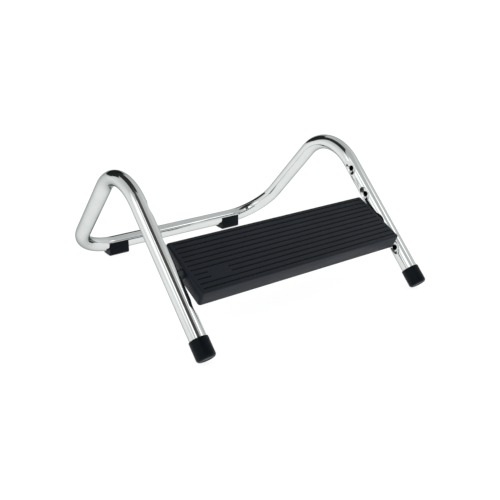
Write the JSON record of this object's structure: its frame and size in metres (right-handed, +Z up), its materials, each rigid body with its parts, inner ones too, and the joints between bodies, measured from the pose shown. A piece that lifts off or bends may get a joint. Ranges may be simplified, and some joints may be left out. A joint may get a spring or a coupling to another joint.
{
  "type": "office footrest",
  "caption": "Footrest with a ribbed tilting footplate carried on sprung pins between the legs of a bent chrome tube frame, with seats at several heights.",
  "frame": {"origin": "on the floor, in the middle of the outline seen from above", "axes": "+X along the footplate to the right as seen from the user's chair, +Y from the front feet to the rear floor bar, +Z up"},
  "size_m": [0.4366, 0.4593, 0.2132],
  "materials": {
    "chrome": "bright chrome plate on bent steel tube",
    "tread_rubber": "satin moulded, blue-black",
    "foot_rubber": "satin moulded, black",
    "black_plastic": "matt moulded",
    "pin_plastic": "satin moulded, dark grey",
    "steel": "zinc plated"
  },
  "bodies": {
    "frame": {"tube_frame": "chrome", "foot_ferrule_left": "foot_rubber", "foot_ferrule_right": "foot_rubber", "rear_glide_left": "foot_rubber", "rear_glide_right": "foot_rubber", "glide_screw_left": "steel", "glide_screw_right": "steel"},
    "footplate": {"tread_cover": "tread_rubber", "support_core": "black_plastic", "base_cover": "black_plastic", "cover_screw_1": "steel", "cover_screw_2": "steel", "cover_screw_3": "steel", "cover_screw_4": "steel", "cover_screw_5": "steel", "cover_screw_6": "steel", "cover_screw_7": "steel", "cover_screw_8": "steel", "pin_spring_left": "steel", "pin_spring_right": "steel"},
    "left_pin": {"pivot_pin_left": "pin_plastic", "retaining_clip_left": "steel"},
    "right_pin": {"pivot_pin_right": "pin_plastic", "retaining_clip_right": "steel"}
  },
  "joints": [
    {"name": "footplate_tilt", "type": "hinge", "parent": "frame", "child": "footplate", "pos_m": [0, -0.13511, 0.09663], "axis": [1, 0, 0], "continuous": true},
    {"name": "left_pin_slide", "type": "slide", "parent": "footplate", "child": "left_pin", "axis": [1, 0, 0], "range_m": [0, 0.007], "stiffness_N_per_m": 1500, "springref_m": -0.006, "deforming": ["pin_spring_left"]},
    {"name": "right_pin_slide", "type": "slide", "parent": "footplate", "child": "right_pin", "axis": [-1, 0, 0], "range_m": [0, 0.007], "stiffness_N_per_m": 1500, "springref_m": -0.006, "deforming": ["pin_spring_right"]}
  ]
}
